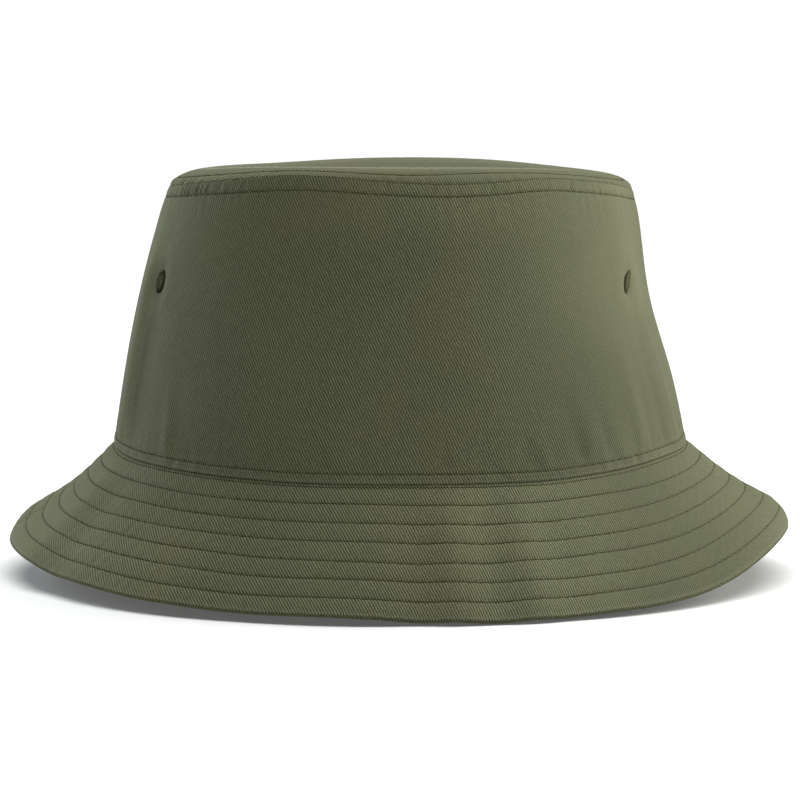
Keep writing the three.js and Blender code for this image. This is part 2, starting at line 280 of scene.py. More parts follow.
def wall_detail(turn, h):
    arc = arc_at(turn)
    length = tip_height(turn) - base_height(turn)
    low = h * length
    high = (1 - h) * length
    relief = tuck(low, 0.35 * MM) + tuck(high, 0.16 * MM)
    relief += stitch_dimples(arc, low - BASE_TOPSTITCH, 0.32 * MM)
    relief += stitch_dimples(arc, high - tip_gap(turn), 0.30 * MM)
    between_base = bell(low - 1.6 * MM, 1.5 * MM)
    between_tip = bell(high - 2.4 * MM, 1.7 * MM)
    left_corner = 1 + 2.2 * lobe(turn, -60, 12)
    relief += pucker(arc, 21, 0.10 * MM) * between_base + 0.22 * MM * between_base
    relief += pucker(arc, 22, 0.09 * MM) * between_tip * left_corner + 0.15 * MM * between_tip
    relief += pucker(arc, 23, 0.06 * MM) * bell(low - 6 * MM, 4.5 * MM)
    relief += pucker(arc, 24, 0.05 * MM) * bell(high - 7 * MM, 4 * MM)
    for fold in FOLDS:
        relief += crease(turn, low, fold) * MM
    stand = ramp(h, 0.02, 0.2) * ramp(h, 0.86, 0.62)
    relief += (0.9 * lobe(turn, -74.5 + 3 * (1 - h), 3.0) - 0.5 * lobe(turn, -67, 4)) * stand * MM
    gathers = np.cos(2 * math.pi * arc / (3.7 * MM)) * lobe(turn, -61, 8)
    relief += 0.3 * MM * gathers * bell(high - 2.2 * MM, 2.0 * MM)
    for nick, slope in TIP_NICKS:
        along = arc_gap(turn, nick) + (high - 2 * MM) * slope
        relief -= 0.32 * MM * bell(along, 1.0 * MM) * bell(high - 2.0 * MM, 1.7 * MM)
    for centre in EYELET_TURNS:
        away = np.hypot(arc_gap(turn, centre), (h - EYELET_SHARE) * length)
        relief = relief - 0.5 * MM * bell(away, 4.2 * MM) + 0.35 * MM * bell(away - 8 * MM, 5 * MM)
        if centre == EYELET_TURNS[2]:
            relief += 0.09 * (h - EYELET_SHARE) * length * bell(away, 7 * MM)
    return relief + side_seam(turn)


def wall_point(turn, h):
    out = -LEAN * h + wall_swell(turn, h)
    height = base_height(turn) * (1 - h) + tip_height(turn) * h
    return ring(turn, out, height)


def tip_reach(turn):
    """How far in from the seam the tip's rolled edge is highest."""
    return (8.5 + 3.5 * np.sin(np.radians(turn)) ** 2) * MM


def ridge_height(turn):
    sides = np.sin(np.radians(turn)) ** 4
    right = 1.2 * lobe(turn, 90, 50)
    corners = lobes(turn, (0.6, 130, 24), (1.0, -143, 24))
    rear = 1.0 * ramp(-np.cos(np.radians(turn)), -0.2, 0.8)
    return TIP_TOP + (0.9 - 2.4 * sides - right - corners - rear) * MM


def tip_point(turn, t):
    """t is 0 at the seam, 1 on the rolled edge and 2 in the middle."""
    roll = np.clip(t, 0, 1) * math.pi / 2
    inward = np.clip(t - 1, 0, 1)
    seam_out = -LEAN + wall_swell(turn, 1.0)
    out = seam_out - tip_reach(turn) * (1 - np.cos(roll)) ** 0.8
    climb = ridge_height(turn) - tip_height(turn)
    height = tip_height(turn) + climb * np.sin(roll)
    middle = TIP_TOP - 2.6 * MM
    height = middle + (height - middle) * np.where(t > 1, (1 - inward) ** 2.2, 1)
    sag = waves(turn, inward, 31, 5, (1, 4), (0.2, 0.9), 0.45) * MM * ramp(inward, 0, 0.4) * (1 - inward)
    out = (HALF_WIDTH + out) * (1 - inward) - HALF_WIDTH
    return ring(turn, out, height + sag)


TIP_ROLL_LENGTH = 11 * MM  # from the seam over to the top of the roll


def tip_row(turn):
    """Where the tip's own row of stitching runs round the roll."""
    return 0.34 + lobes(turn, (0.10, -24, 18), (0.14, 22, 16))


def tip_detail(turn, t):
    arc = arc_at(turn)
    up = t * TIP_ROLL_LENGTH
    row = tip_row(turn) * TIP_ROLL_LENGTH
    relief = tuck(up, 0.16 * MM) + stitch_dimples(arc, up - row, 0.26 * MM, 0.4)
    near = bell(up - 1.4 * MM, 1.6 * MM) * (t < 1.2)
    left_corner = 1 + 2.0 * lobe(turn, -60, 16)
    front = 0.25 + 0.75 * ramp(np.cos(np.radians(turn)), -0.5, 0.2)
    relief += pucker(arc, 25, 0.10 * MM) * near * left_corner * front
    soft = pucker(arc, 26, 0.045 * MM) * ramp(t, 0.3, 1) * ramp(t, 1.25, 1.0) * front
    return relief + soft


def edge_out(turn):
    front = EDGE_HALF_DEPTH / HALF_DEPTH * HALF_WIDTH - HALF_WIDTH
    side = EDGE_HALF_WIDTH - HALF_WIDTH
    return front + (side - front) * np.sin(np.radians(turn)) ** 2 + 1.0 * MM * lobe(turn, 88, 26)


def edge_flare(turn):
    """How far the brim kicks out, over its last few millimetres."""
    return lobes(turn, (2.4, -93, 17), (1.1, 86, 24)) * MM


def edge_height(turn):
    side = np.sin(np.radians(turn)) ** 2
    flat = math.sin(math.radians(EDGE_FLAT_TURN)) ** 2
    front = lobes(turn, (2.5, -42, 17), (0.9, -14, 16), (0.5, 44, 9), (-0.95, -45, 50), (-1.35, 17, 13),
                  (-1.55, 58, 17))
    sides = lobes(turn, (4.6, -102, 12), (-1.5, -70, 13), (4.3, 84, 20))
    rear = lobes(turn, (1.6, 150, 22), (0.9, 205, 18))
    return EDGE_RISE * ramp(side, flat, 1) + (0.85 + front + sides + rear) * MM


def brim_bow(turn, t):
    """How far the brim stands off a straight slope, at a share t of the way down."""
    front = lobes(turn, (0.5, 0, 45), (0.5, 180, 50)) * np.sin(math.pi * t)
    left = lobe(turn, -90, 28) * (1.2 * np.sin(math.pi * t**5) - 1.0 * np.sin(math.pi * t))
    right = 3.0 * lobe(turn, 90, 28) * np.sin(math.pi * t**3.8)
    return (front + left + right) * MM


# Narrow flutes that run down the brim.
FLUTES = [(0.7, 8.5, 3.2), (-0.6, 3, 3.5), (-0.5, 15, 3), (-0.6, 27, 4), (0.4, 21, 3), (-0.7, -62, 4),
          (0.8, -70, 4)]


def brim_point(turn, down):
    """down is the distance from the base seam along the slope; below 0 it runs up inside the wall."""
    t = np.maximum(down, 0) / BRIM_SLANT
    tucked = (0.9 * lobe(turn, 90, 36) - 0.45) * MM
    out = tucked + (edge_out(turn) - tucked) * t + edge_flare(turn) * np.minimum(t, 1) ** 8
    height = base_height(turn) + (edge_height(turn) - base_height(turn)) * t
    drop = base_height(turn) - edge_height(turn)
    run = edge_out(turn) - tucked
    slant = np.hypot(drop, run)
    ripple = waves(turn, t, 41, 8, (4, 15), (-0.3, 0.3), 0.42) * MM * ramp(t, 0.05, 0.9)
    flutes = lobes(turn, *FLUTES) * MM * ramp(t, -0.1, 0.5)
    off = brim_bow(turn, np.clip(t, 0, 1)) + ripple + flutes
    inside = np.maximum(-down, 0)
    out = out + off * drop / slant - inside * LEAN / WALL_LENGTH
    return ring(turn, out, height + off * run / slant + inside)


def brim_normal(turn, down):
    """Straight out from the brim's upper face."""
    ahead = brim_point(turn + 0.2, down) - brim_point(turn - 0.2, down)
    below = brim_point(turn, down + 0.2 * MM) - brim_point(turn, down - 0.2 * MM)
    return unit(np.cross(below, ahead))


def row_down(number, turn):
    """Where a row of brim stitching runs, with the small wander of hand-guided sewing."""
    wander = waves(turn, 0.0, 50 + number, 4, (2, 8), (0, 1), 0.22) * MM
    if number == 0:
        return FIRST_ROW + 0.5 * MM + wander * 0.3
    return FIRST_ROW + number * ROW_PITCH + wander


def brim_detail(turn, down):
    arc = arc_at(turn) * (1 + 0.29 * down / BRIM_SLANT)
    relief = side_seam(turn, 0.4)
    swell = 0.0
    for number in range(BRIM_ROWS):
        away = down - row_down(number, turn)
        depth = (0.30 if number else 0.12) * MM * (1 - 0.45 * lobe(turn, 80, 34))
        relief += stitch_dimples(arc, away, depth, ROW_PHASE * number)
        swell = np.maximum(swell, bell(away - ROW_PITCH / 2, 1.9 * MM))
    between = pucker(arc, 61, 0.035 * MM) + pucker(arc, 62, 0.03 * MM) * np.sin(down / ROW_PITCH * 3)
    return relief + 0.16 * MM * swell + between * ramp(down, 0, 4 * MM)


# ---- Turning grids of points into meshes ----


def normals_of(points):
    along = np.gradient(points, axis=0)
    up = np.gradient(points, axis=1)
    normal = np.cross(along, up)
    return normal / np.maximum(np.linalg.norm(normal, axis=2, keepdims=True), 1e-12)


def grid_faces(columns, rows, wrapped, keep=None):
    i = np.arange(columns if wrapped else columns - 1)
    j = np.arange(rows - 1)
    i, j = grid(i, j)
    if keep is not None:
        i, j = i[keep], j[keep]
    i, j = i.ravel(), j.ravel()
    beside = (i + 1) % columns
    return np.stack([i * rows + j, beside * rows + j, beside * rows + j + 1, i * rows + j + 1], 1)


def open_edges(faces):
    start = faces.ravel()
    end = np.roll(faces, -1, 1).ravel()
    size = faces.max() + 1
    unmatched = ~np.isin(end * size + start, start * size + end)
    return start[unmatched], end[unmatched]


def make_mesh(name, points, faces, fields=None, uv=None):
    """points is (n, 3); faces is a list of index arrays, one for each number of corners."""
    mesh = bpy.data.meshes.new(name)
    mesh.vertices.add(len(points))
    mesh.vertices.foreach_set("co", np.asarray(points, np.float32).ravel())
    corners = np.concatenate([f.ravel() for f in faces]).astype(np.int32)
    sizes = np.concatenate([np.full(len(f), f.shape[1]) for f in faces])
    starts = np.concatenate([[0], np.cumsum(sizes)[:-1]]).astype(np.int32)
    mesh.loops.add(len(corners))
    mesh.loops.foreach_set("vertex_index", corners)
    mesh.polygons.add(len(sizes))
    mesh.polygons.foreach_set("loop_start", starts)
    if uv is not None:
        layer = mesh.uv_layers.new(name="cut")
        layer.data.foreach_set("uv", np.asarray(uv, np.float32)[corners].ravel())
    for label, values in (fields or {}).items():
        attribute = mesh.attributes.new(label, "FLOAT", "POINT")
        attribute.data.foreach_set("value", np.asarray(values, np.float32).ravel())
    mesh.polygons.foreach_set("use_smooth", np.ones(len(sizes), bool))
    mesh.update(calc_edges=True)
    mesh.validate()
    piece = bpy.data.objects.new(name, mesh)
    bpy.context.scene.collection.objects.link(piece)
    return piece


CUT_EDGE_ANGLE = math.radians(65)  # a layer's edges that turn more than this are crisp


def shell(name, outer, inner, uv, fields, wrapped=False, keep=None, capped=False):
    """A closed layer of cloth between two grids of points that match one to one.

    keep says which faces it has, and capped closes the middle of a round piece.
    """
    columns, rows = outer.shape[:2]
    count = columns * rows
    faces = grid_faces(columns, rows, wrapped, keep)
    points = np.concatenate([outer.reshape(-1, 3), inner.reshape(-1, 3)])
    start, end = open_edges(faces)
    caps = np.zeros((0, 3), int)
    uvs = np.tile(uv.reshape(-1, 2), (2, 1))
    values = {k: np.tile(v.ravel(), 2) for k, v in fields.items()}
    if capped:
        top = start % rows == rows - 1
        middle = [outer[:, -1].mean(0), inner[:, -1].mean(0)]
        points = np.concatenate([points, middle])
        uvs = np.concatenate([uvs, [uv[:, -1].mean(0)] * 2])
        values = {k: np.append(v, [v[-1]] * 2) for k, v in values.items()}
        above = np.full(top.sum(), 2 * count)
        a, b = start[top], end[top]
        caps = np.concatenate([
            np.stack([b, a, above], 1),
            np.stack([a + count, b + count, above + 1], 1),
        ])
        start, end = start[~top], end[~top]
    rim = np.stack([end, start, start + count, end + count], 1)
    quads = np.concatenate([faces, faces[:, ::-1] + count, rim])
    layer = make_mesh(name, points, [quads, caps] if capped else [quads], values, uvs)
    layer.data.set_sharp_from_angle(angle=CUT_EDGE_ANGLE)
    return layer


def unrolled(arc, across, bend):
    """Where points lie in the flat cut: along a row that bends as cut, and square across it."""
    centre = (arc[0] + arc[-1]) / 2
    steps = np.diff(arc)
    heading = running_sum(steps * (bend[1:] + bend[:-1]) / 2)
    heading = heading - np.interp(centre, arc, heading)
    u = running_sum(steps * np.cos(heading[:-1]))
    v = running_sum(steps * np.sin(heading[:-1]))
    u = u - np.interp(centre, arc, u)
    v = v - np.interp(centre, arc, v)
    return np.stack([
        u[:, None] - across * np.sin(heading)[:, None],
        v[:, None] + across * np.cos(heading)[:, None],
    ], -1)


HALVES = {"front": slice(0, COLUMNS // 2 + 1), "back": slice(COLUMNS // 2, COLUMNS + 1)}


class Cloth:
    """A finished surface round the whole hat, which pieces and stitches are taken from."""

    def __init__(self, point, detail, steps):
        self.steps = np.asarray(steps, float)
        turn, step = grid(TURNS, self.steps)
        smooth = point(turn, step)
        self.normal = normals_of(smooth)
        self.relief = detail(turn, step)
        self.points = smooth + self.normal * self.relief[..., None]

    def at(self, turn, step):
        """The point and the outward direction at places given by turn and step."""
        i = np.interp((turn + 90) % 360, TURNS + 90, np.arange(len(TURNS)))
        j = np.interp(step, self.steps, np.arange(len(self.steps)))
        i0 = np.minimum(i.astype(int), len(TURNS) - 2)
        j0 = np.minimum(j.astype(int), len(self.steps) - 2)
        a, b = (i - i0)[..., None], (j - j0)[..., None]

        def blend(values):
            low = values[i0, j0] * (1 - a) + values[i0 + 1, j0] * a
            high = values[i0, j0 + 1] * (1 - a) + values[i0 + 1, j0 + 1] * a
            return low * (1 - b) + high * b

        return blend(self.points), unit(blend(self.normal))


# ---- Stitches ----

STITCH_RINGS = 7
STITCH_SIDES = 6
ROW_SAMPLES = 2600  # for measuring a row's length


def thread_tubes(name, path, side, lift, radius, painted_thread_light=0.0):
    """Tubes with closed ends along many short paths at once; path is (stitches, rings, 3)."""
    count, rings = path.shape[:2]
    angle = np.arange(STITCH_SIDES) / STITCH_SIDES * 2 * math.pi
    circle = side[:, :, None] * np.cos(angle)[:, None] + lift[:, :, None] * np.sin(angle)[:, None]
    points = path[:, :, None] + circle * radius[None, :, None, None]
    first = np.arange(count)[:, None, None] * rings * STITCH_SIDES
    ring_index = np.arange(rings - 1)[None, :, None] * STITCH_SIDES
    k = np.arange(STITCH_SIDES)[None, None]
    beside = (k + 1) % STITCH_SIDES
    a = first + ring_index
    quads = np.stack([a + k, a + k + STITCH_SIDES, a + beside + STITCH_SIDES, a + beside], -1)
    start_cap = np.arange(STITCH_SIDES)[None] + first[:, 0]
    end_cap = start_cap[:, ::-1] + (rings - 1) * STITCH_SIDES
    along = np.linspace(0, 1, rings)[None, :, None] + 0 * points[..., 0]
    return make_mesh(name, points.reshape(-1, 3),
                     [quads.reshape(-1, 4), np.concatenate([start_cap, end_cap])],
                     {"along": along, "painted_thread_light": 0 * along + np.reshape(painted_thread_light, (-1, 1, 1))})


def stitch_row(name, cloth, step_at, seed, face=1):
    """One row of stitches laid on a cloth, from needle hole to needle hole; face is -1 on its back."""
    fine = np.linspace(TURNS[0], TURNS[-1], ROW_SAMPLES)
    line, _ = cloth.at(fine, step_at(fine))
    run = running_sum(np.linalg.norm(np.diff(line, axis=0), axis=1))
    number = max(1, int(round(run[-1] / STITCH)))
    rng = np.random.default_rng(seed)
    holes = np.linspace(0, run[-1], number + 1)
    holes[1:-1] += rng.normal(0, 0.03 * STITCH, number - 1)
    t = np.linspace(0.02, 0.98, STITCH_RINGS)
    place = holes[:-1, None] + np.diff(holes)[:, None] * t
    turn = np.interp(place, run, fine)
    point, normal = cloth.at(turn, step_at(turn))
    normal = normal * face
    ahead, _ = cloth.at(turn + 0.05, step_at(turn + 0.05))
    side = np.cross(normal, unit(ahead - point))
    arch = np.sin(math.pi * t) ** 0.55
    skew = (t - 0.5)[None] * rng.normal(0.10, 0.05, number)[:, None] * MM * 2
    height = (arch * 0.24 - 0.12) * MM
    path = point + normal * height[None, :, None] + side * skew[..., None]
    radius = THREAD_RADIUS * (0.9 + 0.7 * abs(2 * t - 1) ** 8)
    # Painted light: the thread paler on the sides that face the lamps
    painted_thread_light = lobes(turn[:, 0], (0.75, 78, 34), (0.5, -96, 24))
    return thread_tubes(name, path, side, normal, radius, painted_thread_light)


# ---- Materials ----


class Shader:
    """A node tree for one material, with short calls for its usual nodes."""

    def __init__(self, name, roughness, sheen=0.0, sheen_tint=(1, 1, 1), specular=0.25):
        self.material = bpy.data.materials.new(name)
        self.material.use_nodes = True
        self.nodes = self.material.node_tree.nodes
        self.links = self.material.node_tree.links
        self.surface = self.nodes["Principled BSDF"]
        self.surface.inputs["Roughness"].default_value = roughness
        self.surface.inputs["Specular IOR Level"].default_value = specular
        self.surface.inputs["Sheen Weight"].default_value = sheen
        self.surface.inputs["Sheen Roughness"].default_value = 0.45
        self.surface.inputs["Sheen Tint"].default_value = (*sheen_tint, 1)

    def put(self, socket, value):
        if isinstance(value, bpy.types.NodeSocket):
            self.links.new(value, socket)
        else:
            socket.default_value = value

    def math(self, operation, *values):
        node = self.nodes.new("ShaderNodeMath")
        node.operation = operation
        for socket, value in zip(node.inputs, values):
            self.put(socket, value)
        return node.outputs[0]

    def plus(self, a, b):
        return self.math("ADD", a, b)

    def minus(self, a, b):
        return self.math("SUBTRACT", a, b)

    def over(self, a, b):
        return self.math("DIVIDE", a, b)

    def product(self, *values):
        result = values[0]
        for value in values[1:]:
            result = self.math("MULTIPLY", result, value)
        return result

    def scaled(self, value, low, high):
        return self.plus(self.product(value, high - low), low)

    def field(self, name):
        node = self.nodes.new("ShaderNodeAttribute")
        node.attribute_name = name
        return node.outputs["Fac"]

    def place(self):
        return self.nodes.new("ShaderNodeTexCoord").outputs["Object"]

    def cut(self):
        """Where a point lies in the flat cut, in millimetres: along and across."""
        node = self.nodes.new("ShaderNodeUVMap")
        node.uv_map = "cut"
        split = self.nodes.new("ShaderNodeSeparateXYZ")
        self.links.new(node.outputs[0], split.inputs[0])
        return self.product(split.outputs[0], 1000.0), self.product(split.outputs[1], 1000.0)

    def noise(self, where, scale, detail=2.0):
        node = self.nodes.new("ShaderNodeTexNoise")
        node.inputs["Scale"].default_value = scale
        node.inputs["Detail"].default_value = detail
        self.links.new(where, node.inputs["Vector"])
        return node.outputs["Fac"]

    def vector(self, x, y, z=0.0):
        node = self.nodes.new("ShaderNodeCombineXYZ")
        for socket, value in zip(node.inputs, (x, y, z)):
            self.put(socket, value)
        return node.outputs[0]

    def mix(self, share, low, high, blend="MIX"):
        node = self.nodes.new("ShaderNodeMix")
        node.data_type = "RGBA"
        node.blend_type = blend
        self.put(node.inputs["Factor"], share)
        self.put(node.inputs[6], low if isinstance(low, bpy.types.NodeSocket) else (*low, 1))
        self.put(node.inputs[7], high if isinstance(high, bpy.types.NodeSocket) else (*high, 1))
        return node.outputs[2]

    def shaded(self, colour, shade):
        return self.mix(1.0, colour, self.vector(shade, shade, shade), "MULTIPLY")

    def bump(self, height, distance, strength=1.0):
        node = self.nodes.new("ShaderNodeBump")
        node.inputs["Distance"].default_value = distance
        node.inputs["Strength"].default_value = strength
        self.links.new(height, node.inputs["Height"])
        self.links.new(node.outputs[0], self.surface.inputs["Normal"])

    def colour(self, value):
        self.put(self.surface.inputs["Base Color"], value)


def arch_wave(s, phase, power):
    """A row of rounded humps with narrow valleys between them."""
    turn = s.product(phase, 2 * math.pi)
    hump = s.minus(0.5, s.product(s.math("COSINE", turn), 0.5))
    return s.math("POWER", s.math("MAXIMUM", hump, 0.0001), power)


# Paler colour for worn edges, also used for the painted highlight along the tip's rolled ridge
WEAR_AND_HIGHLIGHT_COLOUR = (0.37, 0.355, 0.275)
BLUSH_COLOUR = (0.105, 0.085, 0.040)


def twill(name, valley, rib):
    """Steep cotton twill: diagonal ribs, each made of short overlapping floats of yarn."""
    s = Shader(name, roughness=0.9, sheen=0.09, sheen_tint=(0.85, 0.88, 0.70), specular=0.08)
    along, across = s.cut()
    sine, cosine = math.sin(math.radians(TWILL_LEAN)), math.cos(math.radians(TWILL_LEAN))
    where = s.vector(along, across)
    wander = s.product(s.minus(s.noise(where, 0.55), 0.5), 0.34)
    over = s.plus(s.product(along, sine), s.product(across, cosine))
    over = s.over(s.plus(over, wander), TWILL_PITCH)
    down = s.minus(s.product(along, cosine), s.product(across, sine))
    ribs = arch_wave(s, over, 0.72)
    stagger = s.product(s.math("FLOOR", over), 0.38)
    floats = arch_wave(s, s.plus(s.over(down, 0.66), stagger), 0.4)
    yarn = s.noise(s.vector(s.product(over, 0.9), s.product(down, 0.35)), 1.0, 3.0)
    relief = s.product(ribs, s.scaled(floats, 0.58, 1.0), s.scaled(yarn, 0.62, 1.38))
    grain = s.noise(where, 2.1, 1.0)
    fibre = s.noise(where, 9.0, 2.0)
    patch = s.noise(s.place(), 34.0, 3.0)
    # Painted light: rib and valley colours drawn together where the lamps fill the valleys
    flat = s.product(s.field("lamp_evened_twill"), s.minus(0.52, relief))
    colour = s.mix(s.plus(relief, flat), valley, rib)
    blush = s.math("MAXIMUM", s.product(s.minus(patch, 0.5), 0.9), 0.0)
    warm = s.mix(blush, colour, BLUSH_COLOUR)
    # Painted shade in the stitch furrows
    furrow_shade = s.math("POWER", s.field("furrow_shade"), 1.6)
    furrow_shade = s.minus(1.0, s.product(furrow_shade, 0.26))
    # Random tone, times painted light and shade from the pale field and painted shade in the stitch
    # furrows
    shade = s.product(s.scaled(fibre, 0.82, 1.18), s.scaled(patch, 0.9, 1.1), s.scaled(grain, 0.66, 1.34),
                      s.plus(1.0, s.field("pale")), furrow_shade)
    colour = s.shaded(warm, shade)
    # Worn edges, and the painted highlight along the tip's ridge, paler on the ribs
    wear_and_highlight = s.product(s.field("wear_and_highlight"), s.scaled(relief, 0.25, 0.6))
    s.colour(s.mix(wear_and_highlight, colour, WEAR_AND_HIGHLIGHT_COLOUR))
    s.bump(relief, 0.16 * MM, 0.9)
    return s.material


def plain_weave(name, dark, light, pitch=0.5, sheen=0.1):
    """Fine plain weave, for the band, tape and interlining."""
    s = Shader(name, roughness=0.85, sheen=sheen, specular=0.2)
    along, across = s.cut()
    over = arch_wave(s, s.over(along, pitch), 0.5)
    under = arch_wave(s, s.over(across, pitch), 0.5)
    square = s.plus(s.math("FLOOR", s.over(along, pitch)),
                    s.math("FLOOR", s.over(across, pitch)))
    which = s.math("MODULO", s.math("ABSOLUTE", square), 2.0)
    relief = s.plus(s.product(over, which),
                    s.product(under, s.minus(1.0, which)))
    slub = s.noise(s.vector(s.product(along, 0.3), s.product(across, 2.5)), 1.0, 3.0)
    relief = s.product(relief, s.scaled(slub, 0.7, 1.3))
    colour = s.mix(relief, dark, light)
    shade = s.scaled(s.noise(s.place(), 60.0, 3.0), 0.86, 1.14)
    s.colour(s.shaded(colour, shade))
    s.bump(relief, 0.1 * MM, 0.8)
    return s.material


def sewing_thread(name, dark, light, specular=0.08, worked=False):
    """Two-ply spun thread: a fine twist along each stitch.

    Worked thread lies round an eyelet, dark at its outer edge as painted shade where the stitches sink
    into the cloth, and paler towards the hole; an eyelet on a lamp-lit side is made paler as painted
    light.
    """
    s = Shader(name, roughness=0.9, sheen=0.0, specular=specular)
    where = s.place()
    twist = s.nodes.new("ShaderNodeTexWave")
    twist.wave_type = "BANDS"
    twist.bands_direction = "DIAGONAL"
    twist.inputs["Scale"].default_value = 900.0
    twist.inputs["Distortion"].default_value = 2.0
    s.links.new(where, twist.inputs["Vector"])
    lint = s.noise(where, 2500.0, 2.0)
    share = s.product(s.scaled(twist.outputs["Fac"], 0.35, 1.0), s.scaled(lint, 0.5, 1.2))
    if worked:
        # Painted shade at the outer edge, fading towards the hole, and painted light on a lamp-lit eyelet
        patch = s.noise(where, 620.0, 1.0)
        inner = s.math("POWER", s.product(s.field("along"), s.scaled(patch, 0.75, 1.75)), 2.2)
        share = s.plus(s.product(share, s.math("MINIMUM", inner, 1.0)), s.field("painted_thread_light"))
    else:
        # Painted shade: each stitch darker towards its ends, where it sinks into the needle holes, then
        # paler as painted light on the lamp-lit sides
        ends = s.math("ABSOLUTE", s.minus(s.field("along"), 0.5))
        ends = s.math("POWER", s.product(ends, 2.0), 3.0)
        share = s.product(share, s.minus(1.0, s.product(ends, 0.95)),
                          s.plus(1.0, s.field("painted_thread_light")))
    s.colour(s.mix(share, dark, light))
    s.bump(twist.outputs["Fac"], 0.05 * MM, 0.6)
    return s.material


OLIVE_VALLEY = (0.025, 0.0265, 0.0145)
OLIVE_RIB = (0.156, 0.165, 0.094)

TWILL = twill("olive_twill", OLIVE_VALLEY, OLIVE_RIB)
TWILL_UNDER = twill("olive_twill_underside", (0.023, 0.0245, 0.0135), (0.146, 0.154, 0.084))
BAND_CLOTH = plain_weave("olive_sweatband_cotton", (0.050, 0.053, 0.032), (0.125, 0.130, 0.082), 0.55)
TAPE_CLOTH = plain_weave("dark_seam_tape", (0.030, 0.032, 0.022), (0.085, 0.088, 0.060), 0.62)
INTERLINING_CLOTH = plain_weave("natural_interlining", (0.42, 0.40, 0.34), (0.68, 0.66, 0.58), 0.7)
LABEL_CLOTH = plain_weave("woven_label_satin", (0.52, 0.51, 0.47), (0.78, 0.77, 0.73), 0.25, 0.3)
THREAD = sewing_thread("dark_olive_thread", (0.005, 0.005, 0.002), (0.105, 0.103, 0.053))
EYELET_THREAD = sewing_thread("eyelet_thread", (0.0095, 0.010, 0.0035), (0.21, 0.21, 0.115),
                              specular=0.02, worked=True)


def finish_piece(piece, material, slot, *nodes):
    piece.data.materials.append(material)
    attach(piece, "root")
    if nodes:
        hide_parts(*nodes)


# ---- Cloth surfaces ----


def spaced_steps(total, marks, fine, coarse, reach):
    """Steps from 0 to total that are close together near the marks."""
    steps = [0.0]
    while steps[-1] < total:
        away = min(abs(steps[-1] - mark) for mark in marks)
        steps.append(steps[-1] + (fine if away < reach else coarse))
    steps = np.array(steps)
    return steps * total / steps[-1]


WALL_MARKS = [0, BASE_TOPSTITCH, WALL_LENGTH - TIP_TOPSTITCH_LOWER, WALL_LENGTH]
wall_steps = spaced_steps(WALL_LENGTH, WALL_MARKS, 0.3 * MM, 1.25 * MM, 2.2 * MM) / WALL_LENGTH
WALL = Cloth(wall_point, wall_detail, wall_steps)

TOP_SLANT = BRIM_SLANT - RIM  # down to the upper layer's edge
ALLOWANCE = np.array([0.7, 1.6, 3, 5, 7]) * MM  # the brim's seam allowance, up inside the wall
BRIM_MARKS = [FIRST_ROW + k * ROW_PITCH for k in range(BRIM_ROWS)] + [BRIM_SLANT]
brim_steps = spaced_steps(TOP_SLANT, BRIM_MARKS, 0.36 * MM, 0.8 * MM, 1.1 * MM)


def underside_furrows(turn, down):
    return sum(
        stitch_dimples(arc_at(turn), down - row_down(number, turn), 0.26 * MM, ROW_PHASE * number)
        for number in range(BRIM_ROWS)
    )


# A step on a brim cloth is the distance up the slope, so it is below 0 on the brim.
BRIM = Cloth(lambda turn, step: brim_point(turn, -step),
             lambda turn, step: brim_detail(turn, -step) + tuck(TOP_SLANT + step, 0.07 * MM),
             np.concatenate([-brim_steps[::-1], ALLOWANCE]))

BRIM_UNDERSIDE = Cloth(lambda turn, step: brim_point(turn, -step) - brim_normal(turn, -step) * BRIM_DEPTH,
                       lambda turn, step: -underside_furrows(turn, -step),
                       np.linspace(-TOP_SLANT, 0, 160))

roll_steps = np.linspace(0, 1, 23)
dish_steps = 1 + np.linspace(0, 0.985, 28)[1:] ** 0.9
TIP = Cloth(tip_point, tip_detail, np.concatenate([roll_steps, dish_steps]))


# Painted shade in the stitch furrows, by how deep the cloth is pulled in
def furrow_shade_mask(cloth, depth):
    return np.clip(-cloth.relief / (depth * MM), 0, 1)


def lamp_evened_share(turn):
    """Where the twill's rib and valley colours are drawn together: painted light where the lamps fill its
    valleys.
    """
    return lobes(turn, (0.6, 62, 34), (0.65, -92, 26))


def wall_painted_light_and_shade(turn, h):
    """How much lighter or darker the wall's cloth is painted, place by place: painted light and shade for
    how the lamps fall on it.
    """
    left = lobes(turn, (0.12, -86, 16), (-0.22, -46, 26))
    top = 0.22 * lobe(turn, 10, 24) * ramp(h, 0.78, 0.95)
    right = 0.15 * lobe(turn, 52, 18) * ramp(h, 0.25, 0.6) + 0.22 * lobe(turn, 68, 9) * ramp(h, 0.45, 0.65)
    low_right = -0.14 * lobe(turn, 37, 13) * ramp(h, 0.7, 0.35)
    return left + top + right + low_right


def brim_painted_light_and_shade(turn, t):
    """The same for the brim: painted light and shade place by place, with painted shade darkest in the
    crease at its seam and a painted lighter strip just below it.
    """
    front = lobes(turn, (0.10, 0, 20), (0.18, 14.5, 3.5), (0.20, 29, 8), (-0.15, 52, 16))
    left = -0.20 * lobe(turn, -46, 24) * ramp(t, 0.75, 0.1)
    return front + left - 0.55 * bell(t, 0.009) + 0.25 * bell(t - 0.018, 0.007)


TURN_COLUMN = TURNS[:, None]


# ---- Crown ----


def eyelet_keep(columns):
    """Which faces of a wall panel are kept, with a hole left at each eyelet."""
    points = WALL.points[columns]
    middle = (points[:-1, :-1] + points[1:, 1:]) / 2
    keep = np.ones(middle.shape[:2], bool)
    for turn in EYELET_TURNS:
        centre, _ = WALL.at(np.array(float(turn)), np.array(EYELET_SHARE))
        keep &= np.linalg.norm(middle - centre, axis=2) > EYELET_CUT
    return keep


